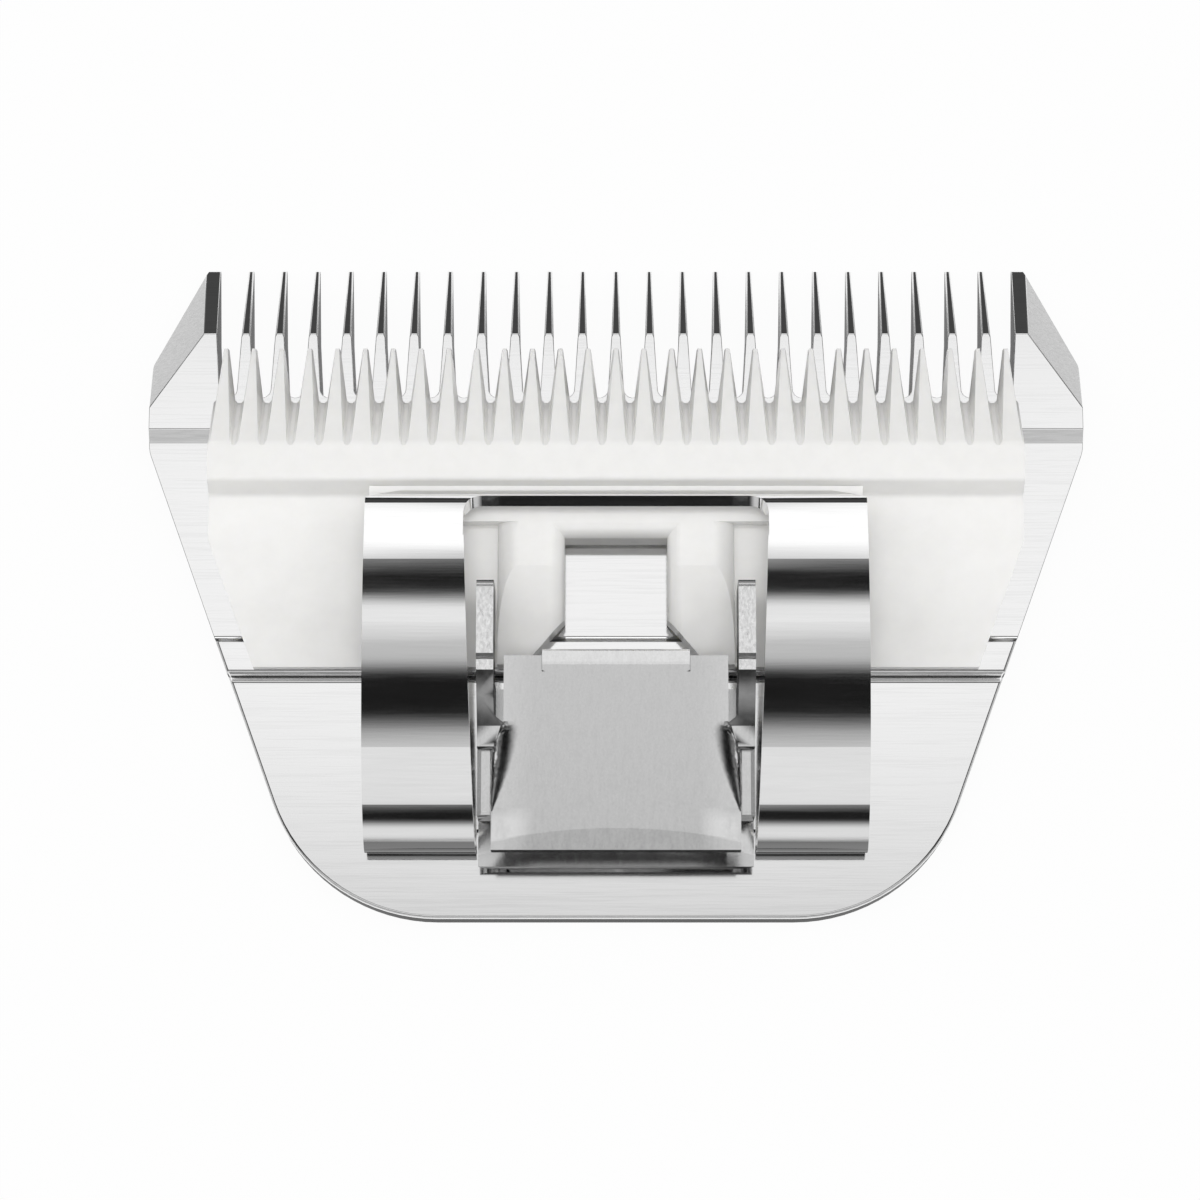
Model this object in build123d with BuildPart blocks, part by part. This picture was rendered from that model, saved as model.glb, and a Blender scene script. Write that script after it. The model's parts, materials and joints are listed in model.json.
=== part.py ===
from build123d import *
import math
import os

# Detachable clipper blade set, in millimetres.
# X runs along the tooth row, +Y points to the tooth tips, +Z up from the flat underside of the comb.
# The origin lies under the middle of the comb's length and width.

# Comb in plan
comb_length = 46.4
comb_width = 65.0
shoulder_setback = 7.4
full_width_length = 6.4
flank_angle = 20.0
rear_corner_radius = 12.1
shoulder_radius = 1.2
waist_radius = 2.5
side_chamfer = 0.18

# Comb in side view
race_height = 3.4
platform_height = 2.2
tip_height = 0.55
nose_chamfer = 0.17
tooth_bevel_run = 5.5
front_race_length = 6.85
race_slope_run = 0.87
trough_depth = 0.5
trough_length = 14.2
trough_fillet = 0.5
rear_race_length = 2.35
race_edge_round = 0.4
platform_fillet = 0.35

# Comb teeth
comb_tooth_count = 25
comb_tooth_pitch = 2.35
comb_tip_width = 0.36
comb_neck_width = 0.62
comb_root_width = 1.1
tooth_edge_chamfer = 0.1
comb_slot_length = 10.1
corner_bevel_angle = 40.7
corner_bevel_skew = 34.8
corner_tooth_width = 0.9

# Cutter
cutter_tooth_count = 29
cutter_tooth_pitch = 1.941
cutter_half_width = 28.0
cutter_tip_setback = 1.2
cutter_tip_thickness = 0.5
cutter_height = 3.5
cutter_slope_run = 7.7
cutter_top_length = 2.4
shoulder_run = 0.75
shoulder_round = 0.4
plate_thickness = 1.9
plate_length = 7.25
cutter_rear_thickness = 0.8
cutter_straight_length = 14.0
groove_root_width = 0.6
groove_flare = 8.2
groove_root_setback = 3.8
groove_root_bevel = 0.18

# Drive slot and its lugs
slot_width = 7.0
slot_front_setback = 13.95
slot_mouth_width = 12.4
slot_mouth_depth = 3.1
lug_width = 4.6
lug_height = 3.1
lug_outer_round = 1.5
lug_inner_round = 1.0
lug_flat_setback = 2.1
lug_rear_height = 1.75
saddle_half_width = 16.9
saddle_length = 2.5

# Tension spring, with the radii of its bends at mid thickness
# The spring, the socket and the screws are all placed from the rear edge of the rear race
sheet = 0.8
spring_half_width = 17.05
spring_setback = 12.35
spring_base_gap = 1.43
curl_end_slope = 52.0
# Each bend of the arms: its radius, and the slope in degrees where it ends
arm_bends = [(9.0, 32.0), (14.0, 16.0), (30.0, 0.0), (28.0, -9.0), (22.0, -20.0)]
lip_bend_radius = 1.0
lip_slope = -62.0
lip_length = 1.1
lip_corner_run = 2.4
lip_clearance = 0.02
toe_setback = 0.75
window_clearance = 0.15
window_flare = 0.86
window_corner_radius = 1.4
window_bend_share = 0.7

# Socket
socket_sheet = 1.2
socket_setback = 13.35
ear_thickness = 1.15
front_wall_lead = 0.85
channel_height = 3.2
roof_neck_half_width = 7.55
roof_half_width = 8.35
side_wall_lead = 1.0
roof_rear_setback = 0.5
roof_edge_setback = 0.5
roof_neck_length = 4.5
flange_length = 6.1
flange_round = 1.9
flange_squash = 0.75
flange_root_gap = 0.3
# Share of the flange's length from its front, and share of the full bend left there
flange_stations = [(0, 1), (0.35, 0.9), (0.7, 0.5), (1, 0.06)]
tab_width = 9.5
tab_relief = 0.25
front_wall_width = 7.5
front_wall_gap = 0.3
tab_relief_depth = 1.1
top_bend_radius = 1.5
bottom_bend_radius = 2.0
floor_bend_radius = 1.4
wall_gap = 0.1
wall_clearance = 0.7
ear_lead = 4.8
ear_top_length = 5.1
# Rear outline of each ear: distance behind the rear end of its top, and height above the roof
ear_steps = [(0, 2.4), (0.35, 2.0), (1.05, 1.9), (2.5, 0.96), (4.4, -0.4), (5.8, -0.75)]
ear_corner_radius = 0.6
ear_clearance = 1.1
ear_throat = 0.9
wall_edge_chamfer = 0.28
# Hook bent from each side wall over the edge of the roof, in plan:
# distance in from the outer face of the wall, and distance behind the rear end of the ear's top
hook_outline = [(0, 2.9), (1.85, 4.25), (1.85, 4.6), (0.9, 5.8), (0, 5.8)]

# Screws
screw_spacing = 9.6
screw_setback = 7.05
screw_diameter = 2.8
screw_head_diameter = 5.4
screw_head_angle = 90.0
screw_hole_clearance = 0.2
thread_clearance = 0.03
driver_slot_width = 0.9
driver_slot_depth = 0.7

# Length by which a cut runs out past an edge, and the tolerance for picking edges by position
overrun = 1.0
tolerance = 0.01

# Levels and stations along Y that follow from the sizes above
tip_y = comb_length / 2
rear_y = -comb_length / 2
race_front_y = tip_y - tooth_bevel_run
front_race_rear_y = race_front_y - front_race_length
trough_front_y = front_race_rear_y - race_slope_run
rear_race_front_y = trough_front_y - trough_length
rear_race_rear_y = rear_race_front_y - rear_race_length
trough_z = race_height - trough_depth
half_width = comb_width / 2
shoulder_y = tip_y - shoulder_setback
waist_y = shoulder_y - full_width_length

cutter_tip_y = race_front_y - cutter_tip_setback
cutter_top_z = race_height + cutter_height
cutter_top_front_y = cutter_tip_y - cutter_slope_run
cutter_top_rear_y = cutter_top_front_y - cutter_top_length
plate_z = race_height + plate_thickness
plate_front_y = cutter_top_rear_y - shoulder_run
plate_rear_y = plate_front_y - plate_length
cutter_rear_y = rear_race_rear_y + race_edge_round
saddle_front_y = cutter_top_rear_y - shoulder_run / 2
saddle_rear_y = saddle_front_y - saddle_length
lug_z = race_height + lug_height
lug_side_x = slot_width / 2 + lug_width
slot_front_y = cutter_tip_y - slot_front_setback

spring_top_z = platform_height + sheet
spring_rear_y = rear_race_rear_y - spring_setback
spring_base_front_y = rear_race_rear_y - spring_base_gap
toe_y = saddle_front_y - toe_setback

front_wall_y = rear_race_rear_y + front_wall_lead
socket_front_y = front_wall_y - bottom_bend_radius
socket_rear_y = rear_race_rear_y - socket_setback
socket_half_width = roof_half_width + side_wall_lead
window_rear_half_width = socket_half_width + window_clearance
window_front_half_width = window_rear_half_width + window_flare
floor_z = spring_top_z + socket_sheet
roof_under_z = floor_z + channel_height
roof_z = roof_under_z + socket_sheet
roof_front_y = front_wall_y - roof_edge_setback
roof_rear_y = socket_rear_y + roof_rear_setback
flange_front_y = roof_front_y - roof_neck_length
flange_rear_y = flange_front_y - flange_length
screw_y = rear_race_rear_y - screw_setback


def sine(degrees):
    return math.sin(math.radians(degrees))


def cosine(degrees):
    return math.cos(math.radians(degrees))


def tangent(degrees):
    return math.tan(math.radians(degrees))


def pick(shapes, axis, position):
    return shapes.filter_by_position(axis, position - tolerance, position + tolerance)


# Comb
corner_tooth_x = comb_tooth_pitch * (comb_tooth_count - 1) / 2 - comb_neck_width / 2

with BuildPart() as comb:
    with BuildSketch(Plane.YZ) as comb_profile:
        with BuildLine():
            Polyline(
                (rear_y, 0),
                (tip_y, 0),
                (tip_y, tip_height),
                (race_front_y, race_height),
                (front_race_rear_y, race_height),
                (trough_front_y, trough_z),
                (rear_race_front_y, trough_z),
                (rear_race_front_y, race_height),
                (rear_race_rear_y, race_height),
                (rear_race_rear_y, platform_height),
                (rear_y, platform_height),
                (rear_y, 0),
            )
        make_face()
        chamfer(pick(comb_profile.vertices(), Axis.X, tip_y), nose_chamfer)
        trough_end = pick(comb_profile.vertices(), Axis.X, rear_race_front_y)
        fillet(trough_end.sort_by(Axis.Y)[0], trough_fillet)
        ridge = pick(comb_profile.vertices(), Axis.X, rear_race_rear_y)
        fillet(ridge.sort_by(Axis.Y)[-1], race_edge_round)
        wall_foot = pick(comb_profile.vertices(), Axis.X, rear_race_rear_y)
        fillet(wall_foot.sort_by(Axis.Y)[0], platform_fillet)
    extrude(amount=half_width, both=True)

    with BuildSketch() as comb_plan:
        with BuildLine():
            Polyline(
                (0, rear_y),
                (half_width - (waist_y - rear_y) * tangent(flank_angle), rear_y),
                (half_width, waist_y),
                (half_width, shoulder_y),
                (corner_tooth_x + corner_tooth_width, tip_y),
                (0, tip_y),
                close=True,
            )
        make_face()
        mirror(about=Plane.YZ)
        rear_row = comb_plan.vertices().group_by(Axis.Y)[0].sort_by(Axis.X)
        fillet([rear_row[0], rear_row[-1]], rear_corner_radius)
        fillet(pick(comb_plan.vertices(), Axis.Y, waist_y), waist_radius)
        fillet(pick(comb_plan.vertices(), Axis.Y, shoulder_y), shoulder_radius)
    extrude(amount=race_height, mode=Mode.INTERSECT)

    # Large ground bevels on the outside of the two corner teeth
    for side in (1, -1):
        along = Vector(sine(corner_bevel_skew) * side, -cosine(corner_bevel_skew), 0)
        outward = Vector(cosine(corner_bevel_skew) * side, sine(corner_bevel_skew), 0)
        face_normal = outward * sine(corner_bevel_angle) + Vector(0, 0, cosine(corner_bevel_angle))
        bevel_start = Vector(side * (corner_tooth_x + corner_tooth_width), race_front_y, race_height)
        bevel_plane = Plane(origin=bevel_start, x_dir=along, z_dir=face_normal)
        with BuildSketch(bevel_plane):
            Rectangle(comb_length, comb_length)
        extrude(amount=comb_length / 2, mode=Mode.SUBTRACT)

    # Gaps between the teeth, wider toward the tips
    slot_root_y = tip_y - comb_slot_length
    slot_root_radius = (comb_tooth_pitch - comb_root_width) / 2
    neck_x = (comb_tooth_pitch - comb_neck_width) / 2
    mouth_x = (comb_tooth_pitch - comb_tip_width) / 2
    flank_start = (slot_root_radius, slot_root_y + slot_root_radius)
    root_middle_x = slot_root_radius * sine(45)
    root_middle = (root_middle_x, slot_root_y + slot_root_radius - root_middle_x)
    with BuildSketch(mode=Mode.PRIVATE) as tooth_gap:
        with BuildLine():
            ThreePointArc((0, slot_root_y), root_middle, flank_start)
            Polyline(
                flank_start,
                (neck_x, race_front_y),
                (mouth_x, tip_y),
                (mouth_x, tip_y + overrun),
                (0, tip_y + overrun),
                (0, slot_root_y),
            )
        make_face()
        mirror(about=Plane.YZ)
    with BuildSketch():
        with GridLocations(comb_tooth_pitch, 1, comb_tooth_count - 1, 1):
            add(tooth_gap.sketch)
    extrude(amount=race_height, mode=Mode.SUBTRACT)

    # Eased long edges on the bevels of the teeth
    lines = comb.edges().filter_by(GeomType.LINE).filter_by_position(Axis.Y, race_front_y + tolerance, tip_y)
    bevel_edges = lines.filter_by_position(Axis.Z, tip_height + tolerance, race_height)
    long_edges = bevel_edges.filter_by(lambda e: e.length > tooth_bevel_run)
    chamfer(long_edges.filter_by(lambda e: abs(e.center().X) < corner_tooth_x), tooth_edge_chamfer)

    # Fine chamfer along the slanted sides and the rear edge
    platform_edges = pick(comb.edges(), Axis.Z, platform_height)
    chamfer(platform_edges.filter_by(lambda e: e.center().Y < rear_race_rear_y - overrun), side_chamfer)

    # Countersunk holes for the two screws, opened from the underside
    with Locations(Plane.XY.rotated((180, 0, 0))):
        with GridLocations(screw_spacing, 1, 2, 1):
            with Locations((0, -screw_y)):
                CounterSinkHole(
                    radius=screw_diameter / 2 + screw_hole_clearance,
                    counter_sink_radius=screw_head_diameter / 2,
                    counter_sink_angle=screw_head_angle,
                )
comb.part.label = "comb"


# Cutter
groove_rise = cutter_height / (cutter_tip_y - groove_root_setback - cutter_top_front_y)
groove_top = 3 * cutter_height
groove_top_width = groove_root_width + 2 * groove_top * tangent(groove_flare)

with BuildPart() as cutter:
    with BuildSketch(Plane.YZ) as cutter_profile:
        with BuildLine():
            Polyline(
                (cutter_rear_y, race_height),
                (cutter_tip_y, race_height),
                (cutter_tip_y, race_height + cutter_tip_thickness),
                (cutter_top_front_y, cutter_top_z),
                (cutter_top_rear_y, cutter_top_z),
                (plate_front_y, plate_z),
                (plate_rear_y, plate_z),
                (cutter_rear_y, race_height + cutter_rear_thickness),
                close=True,
            )
        make_face()
        fillet(pick(cutter_profile.vertices(), Axis.X, cutter_top_rear_y), shoulder_round)
        fillet(pick(cutter_profile.vertices(), Axis.X, plate_front_y), shoulder_round)
    extrude(amount=cutter_half_width, both=True)

    # Saddle under the cross bar of the spring, and the block for the lugs behind it
    with BuildSketch(Plane.XY.offset(race_height)):
        with Locations((0, saddle_rear_y)):
            Rectangle(2 * saddle_half_width, saddle_length, align=(Align.CENTER, Align.MIN))
    extrude(amount=lug_height)
    with BuildPart(mode=Mode.PRIVATE) as lug_block:
        with BuildSketch(Plane.YZ):
            with BuildLine():
                Polyline(
                    (saddle_rear_y, race_height),
                    (saddle_rear_y, lug_z),
                    (slot_front_y - lug_flat_setback, lug_z),
                    (cutter_rear_y, race_height + lug_rear_height),
                    (cutter_rear_y, race_height),
                    close=True,
                )
            make_face()
        extrude(amount=lug_side_x, both=True)
        with BuildSketch(Plane.XZ.offset(-saddle_rear_y)):
            with BuildLine():
                Polyline(
                    (lug_side_x - lug_outer_round, lug_z),
                    (0, lug_z),
                    (0, race_height),
                    (lug_side_x, race_height),
                    (lug_side_x, plate_z),
                )
                EllipticalCenterArc(
                    (lug_side_x - lug_outer_round, plate_z),
                    lug_outer_round,
                    lug_z - plate_z,
                    start_angle=0,
                    arc_size=90,
                )
            make_face()
            mirror(about=Plane.YZ)
        extrude(amount=saddle_rear_y - cutter_rear_y, mode=Mode.INTERSECT)
    add(lug_block.part)

    # Slanted ends, parallel to the sides of the comb
    with BuildSketch():
        straight_end_y = cutter_tip_y - cutter_straight_length
        rear_x = cutter_half_width - (straight_end_y - cutter_rear_y) * tangent(flank_angle)
        with BuildLine():
            Polyline(
                (-rear_x, cutter_rear_y),
                (rear_x, cutter_rear_y),
                (cutter_half_width, straight_end_y),
                (cutter_half_width, cutter_tip_y),
                (-cutter_half_width, cutter_tip_y),
                (-cutter_half_width, straight_end_y),
                close=True,
            )
        make_face()
    extrude(amount=cutter_top_z + overrun, mode=Mode.INTERSECT)

    # Drive slot with its flared mouth
    with BuildSketch():
        mouth_front_y = cutter_rear_y + slot_mouth_depth
        with BuildLine():
            Polyline(
                (-slot_width / 2, slot_front_y),
                (slot_width / 2, slot_front_y),
                (slot_width / 2, mouth_front_y),
                (slot_mouth_width / 2, cutter_rear_y),
                (slot_mouth_width / 2, cutter_rear_y - overrun),
                (-slot_mouth_width / 2, cutter_rear_y - overrun),
                (-slot_mouth_width / 2, cutter_rear_y),
                (-slot_width / 2, mouth_front_y),
                close=True,
            )
        make_face()
    extrude(amount=cutter_top_z + overrun, mode=Mode.SUBTRACT)

    # Rounded inner edges of the lugs and of the wall in front of the slot
    rim = cutter.edges().filter_by(lambda e: abs(e.center().X) < slot_width / 2 + tolerance)
    rim = rim.filter_by_position(Axis.Y, mouth_front_y + tolerance, slot_front_y + tolerance)
    fillet(rim.filter_by_position(Axis.Z, plate_z, lug_z), lug_inner_round)

    # Grooves that part the teeth, ground at a slant so that they run out at the top of the body
    groove_start_y = cutter_tip_y + overrun
    groove_start_z = race_height - groove_rise * (groove_root_setback + overrun)
    with BuildSketch(mode=Mode.PRIVATE) as groove:
        with BuildLine():
            Polyline(
                (0, groove_start_z),
                (groove_root_width / 2 - groove_root_bevel, groove_start_z),
                (groove_root_width / 2, groove_start_z + groove_root_bevel),
                (groove_top_width / 2, groove_start_z + groove_top),
                (0, groove_start_z + groove_top),
                close=True,
            )
        make_face()
        mirror(about=Plane.YZ)
    with BuildSketch(Plane.XZ.offset(-groove_start_y)):
        with GridLocations(cutter_tooth_pitch, 1, cutter_tooth_count + 1, 1):
            add(groove.sketch)
    extrude(amount=2 * cutter_slope_run, dir=(0, -1, groove_rise), mode=Mode.SUBTRACT)
cutter.part.label = "cutter"


# Tension spring
# The lip has to land on the saddle, so the rear curl takes up the height that is left,
# and the bends of the arms are stretched by one factor to reach that far.
arm_run = 0
arm_lift = 0
slope = curl_end_slope
for radius, end_slope in arm_bends:
    arm_run += radius * (sine(slope) - sine(end_slope))
    arm_lift += radius * (cosine(end_slope) - cosine(slope))
    slope = end_slope
arm_end_slope = slope
lip_run = lip_bend_radius * (sine(arm_end_slope) - sine(lip_slope)) + lip_length * cosine(lip_slope)
lip_drop = lip_bend_radius * (cosine(arm_end_slope) - cosine(lip_slope)) - lip_length * sine(lip_slope)
toe_z = lug_z + lip_clearance + cosine(lip_slope) * sheet / 2
run_to_fill = toe_y - lip_run - spring_rear_y - sheet / 2
lift_to_fill = toe_z + lip_drop - platform_height - sheet / 2
curl_run_share = 1 - sine(curl_end_slope)
curl_lift_share = 1 + cosine(curl_end_slope)
determinant = curl_run_share * arm_lift - curl_lift_share * arm_run
curl_radius = (run_to_fill * arm_lift - lift_to_fill * arm_run) / determinant
arm_stretch = (curl_run_share * lift_to_fill - curl_lift_share * run_to_fill) / determinant
curl_y = spring_rear_y + curl_radius + sheet / 2

with BuildPart() as tension_spring:
    with BuildLine(Plane.YZ) as spring_path:
        mid_z = platform_height + sheet / 2
        base_line = Line((spring_base_front_y, mid_z), (curl_y, mid_z))
        bend = JernArc(base_line @ 1, base_line % 1, curl_radius, curl_end_slope - 180)
        slope = curl_end_slope
        for radius, end_slope in arm_bends:
            bend = JernArc(bend @ 1, bend % 1, radius * arm_stretch, end_slope - slope)
            slope = end_slope
        lip_bend = JernArc(bend @ 1, bend % 1, lip_bend_radius, lip_slope - slope)
        lip = Line(lip_bend @ 1, (lip_bend @ 1) + (lip_bend % 1) * lip_length)
    path = spring_path.wires()[0]
    with BuildSketch(Plane(origin=path @ 0, x_dir=(1, 0, 0), z_dir=path % 0)):
        Rectangle(2 * spring_half_width, sheet)
    sweep(path=path)

    # Window between the two arms, open through the rear curl as far as the base
    bar_edge = lip_bend @ window_bend_share
    bar_heading = lip_bend % window_bend_share
    bar_normal = Vector(0, -bar_heading.Z, bar_heading.Y)
    window_front_y = bar_edge.Y - overrun
    with BuildSketch(Plane.XY.offset(spring_top_z)):
        with BuildLine():
            Polyline(
                (-window_rear_half_width, spring_rear_y - overrun),
                (window_rear_half_width, spring_rear_y - overrun),
                (window_front_half_width, window_front_y),
                (-window_front_half_width, window_front_y),
                close=True,
            )
        make_face()
    extrude(amount=comb_length, mode=Mode.SUBTRACT)
    with BuildSketch(Plane.XY.offset(platform_height)):
        with Locations((0, curl_y)):
            Rectangle(2 * window_rear_half_width, 2 * curl_radius, align=(Align.CENTER, Align.MAX))
    extrude(amount=sheet, mode=Mode.SUBTRACT)
    with BuildSketch(Plane(origin=bar_edge, x_dir=(1, 0, 0), z_dir=bar_normal)) as window_end:
        Rectangle(2 * window_front_half_width, 2 * window_corner_radius, align=(Align.CENTER, Align.MAX))
        fillet(window_end.vertices().group_by(Axis.Y)[-1], window_corner_radius)
    extrude(amount=2 * sheet, both=True, mode=Mode.SUBTRACT)

    # Lower corners of the lip, cut back at a slant
    lip_end = lip @ 1
    lip_heading = lip % 1
    lip_normal = Vector(0, -lip_heading.Z, lip_heading.Y)
    with BuildSketch(Plane(origin=lip_end, x_dir=(1, 0, 0), z_dir=lip_normal)):
        with BuildLine():
            Polyline(
                (spring_half_width - lip_corner_run, 0),
                (spring_half_width - lip_corner_run, lip_length),
                (spring_half_width + overrun, lip_length),
                (spring_half_width + overrun, -lip_length - lip_bend_radius),
                (spring_half_width, -lip_length - lip_bend_radius / 2),
                close=True,
            )
        make_face()
        mirror(about=Plane.YZ)
    extrude(amount=sheet, both=True, mode=Mode.SUBTRACT)

    # Clearance holes for the screws
    with Locations(Plane.XY.offset(spring_top_z)):
        with GridLocations(screw_spacing, 1, 2, 1):
            with Locations((0, screw_y)):
                Hole(radius=screw_diameter / 2 + screw_hole_clearance)
tension_spring.part.label = "tension_spring"


# Blade socket, one folded sheet: floor, two side walls with ears, front wall and roof
side_wall_top_z = roof_z - flange_round * flange_squash - wall_gap
ear_bottom_z = plate_z + ear_clearance
ear_front_y = roof_front_y + ear_lead
ear_rear_y = ear_front_y - ear_top_length
wall_front_y = rear_race_rear_y - wall_clearance
flange_root_x = roof_half_width - flange_round - flange_root_gap
ear_outline = [(ear_rear_y - back, roof_z + rise) for back, rise in reversed(ear_steps)]
ear_top_z = ear_outline[-1][1]
hook_corners = [(socket_half_width - inward, ear_rear_y - back) for inward, back in hook_outline]

with BuildPart() as blade_socket:
    with BuildSketch(Plane.XY.offset(spring_top_z)):
        with Locations((0, socket_rear_y)):
            floor_length = socket_front_y - socket_rear_y
            Rectangle(2 * socket_half_width, floor_length, align=(Align.CENTER, Align.MIN))
    extrude(amount=socket_sheet)

    # Side walls, drawn out into the ears at the front
    with BuildSketch(Plane.YZ.offset(socket_half_width)) as ear_profile:
        with BuildLine():
            Polyline(
                (flange_rear_y, spring_top_z),
                (flange_rear_y, side_wall_top_z),
                (ear_outline[0][0], side_wall_top_z),
                *ear_outline,
                (ear_front_y, ear_top_z),
                (ear_front_y, ear_bottom_z),
                (wall_front_y + ear_throat, ear_bottom_z),
                (wall_front_y, ear_bottom_z - ear_throat),
                (wall_front_y, spring_top_z),
                close=True,
            )
        make_face()
        fillet(pick(ear_profile.vertices(), Axis.X, ear_front_y), ear_corner_radius)
    extrude(amount=-ear_thickness)
    wall_edges = pick(blade_socket.edges().filter_by(Axis.Y), Axis.Z, side_wall_top_z)
    chamfer(wall_edges, wall_edge_chamfer)

    # Hooks that hold the roof down, under the same slope as the rear of the ears
    with BuildPart(mode=Mode.PRIVATE) as hook:
        with BuildSketch(Plane.XY.offset(roof_under_z)):
            with BuildLine():
                Polyline(hook_corners, close=True)
            make_face()
        extrude(amount=ear_top_z - roof_under_z)
        with BuildSketch(Plane.YZ):
            with BuildLine():
                Polyline(
                    (ear_outline[0][0], roof_under_z),
                    *ear_outline,
                    (ear_front_y, roof_under_z),
                    close=True,
                )
            make_face()
        extrude(amount=half_width, mode=Mode.INTERSECT)
    add(hook.part)
    mirror(about=Plane.YZ)
    floor_edges = blade_socket.edges().filter_by(Axis.Y).group_by(Axis.Z)[0]
    outer_edges = floor_edges.filter_by(lambda e: abs(e.center().X) > socket_half_width - tolerance)
    fillet(outer_edges, floor_bend_radius)

    # Front wall folded up from the floor and back into the roof
    with BuildLine(Plane.YZ) as wall_path:
        floor_line = Line(
            (socket_front_y - overrun, spring_top_z + socket_sheet / 2),
            (socket_front_y, spring_top_z + socket_sheet / 2),
        )
        low_bend = JernArc(floor_line @ 1, floor_line % 1, bottom_bend_radius - socket_sheet / 2, 90)
        wall_line = Line(low_bend @ 1, Vector(0, front_wall_y - socket_sheet / 2, roof_z - top_bend_radius))
        top_bend = JernArc(wall_line @ 1, wall_line % 1, top_bend_radius - socket_sheet / 2, 90)
        Line(top_bend @ 1, (top_bend @ 1) + (top_bend % 1))
    path = wall_path.wires()[0]
    with BuildSketch(Plane(origin=path @ 0, x_dir=(1, 0, 0), z_dir=path % 0)):
        Rectangle(tab_width, socket_sheet)
    sweep(path=path)
    with BuildSketch(Plane.XY.offset(spring_top_z)):
        with Locations((0, socket_front_y)):
            with GridLocations(tab_width + front_wall_width, 1, 2, 1):
                Rectangle(tab_width, comb_length, align=(Align.CENTER, Align.MIN))
    extrude(amount=lug_z + front_wall_gap - spring_top_z, mode=Mode.SUBTRACT)

    # Roof, with a relief cut at each end of the fold
    with BuildSketch(Plane.XY.offset(roof_under_z)):
        with Locations((0, roof_front_y)):
            Rectangle(2 * roof_neck_half_width, roof_neck_length, align=(Align.CENTER, Align.MAX))
        with Locations((0, flange_front_y)):
            Rectangle(2 * flange_root_x, flange_length, align=(Align.CENTER, Align.MAX))
        with Locations((0, flange_rear_y)):
            tail_length = flange_rear_y - roof_rear_y
            Rectangle(2 * roof_half_width, tail_length, align=(Align.CENTER, Align.MAX))
        with Locations((0, roof_front_y)):
            with GridLocations(tab_width + tab_relief, 1, 2, 1):
                Rectangle(tab_relief, 2 * tab_relief_depth, mode=Mode.SUBTRACT)
            Rectangle(tab_width, 2 * tab_relief_depth, mode=Mode.SUBTRACT)
    extrude(amount=socket_sheet)

    # Edges of the roof bent down onto the side walls, fading out toward the rear
    for share, round_share in flange_stations:
        station_y = flange_front_y - share * flange_length
        bend = flange_round * round_share
        drop = bend * flange_squash
        with BuildSketch(Plane.XZ.offset(-station_y)):
            with BuildLine():
                Line((flange_root_x, roof_z), (roof_half_width - bend, roof_z))
                bend_centre = (roof_half_width - bend, roof_z - drop)
                EllipticalCenterArc(bend_centre, bend, drop, start_angle=0, arc_size=90)
                Polyline(
                    (roof_half_width, roof_z - drop),
                    (roof_half_width - ear_thickness, min(roof_z - drop, roof_under_z)),
                    (flange_root_x, roof_under_z),
                    (flange_root_x, roof_z),
                )
            make_face()
    loft()
    mirror(about=Plane.YZ)

    # Threaded holes for the two screws
    with Locations(Plane.XY.offset(floor_z)):
        with GridLocations(screw_spacing, 1, 2, 1):
            with Locations((0, screw_y)):
                Hole(radius=screw_diameter / 2 + thread_clearance, depth=socket_sheet)
blade_socket.part.label = "blade_socket"


# Screws, flush with the underside of the comb and with the floor of the socket
def flat_head_screw(x):
    head_radius = screw_head_diameter / 2
    head_depth = (head_radius - screw_diameter / 2) / tangent(screw_head_angle / 2)
    with BuildPart() as screw:
        with BuildSketch(Plane.XZ.offset(-screw_y)):
            with BuildLine():
                Polyline(
                    (x, 0),
                    (x + head_radius, 0),
                    (x + screw_diameter / 2, head_depth),
                    (x + screw_diameter / 2, floor_z),
                    (x, floor_z),
                    close=True,
                )
            make_face()
        revolve(axis=Axis((x, screw_y, 0), (0, 0, 1)))
        with BuildSketch():
            with Locations((x, screw_y)):
                Rectangle(screw_head_diameter, driver_slot_width)
        extrude(amount=driver_slot_depth, mode=Mode.SUBTRACT)
    return screw.part


screw_left = flat_head_screw(-screw_spacing / 2)
screw_left.label = "screw_left"
screw_right = flat_head_screw(screw_spacing / 2)
screw_right.label = "screw_right"

os.makedirs("parts", exist_ok=True)
export_step(comb.part, "parts/comb.step")
export_step(cutter.part, "parts/cutter.step")
export_step(tension_spring.part, "parts/tension_spring.step")
export_step(blade_socket.part, "parts/blade_socket.step")
export_step(screw_left, "parts/screw_left.step")
export_step(screw_right, "parts/screw_right.step")
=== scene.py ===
import json
import math

import bmesh
import bpy
import numpy as np
from mathutils import Matrix, Vector

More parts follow.
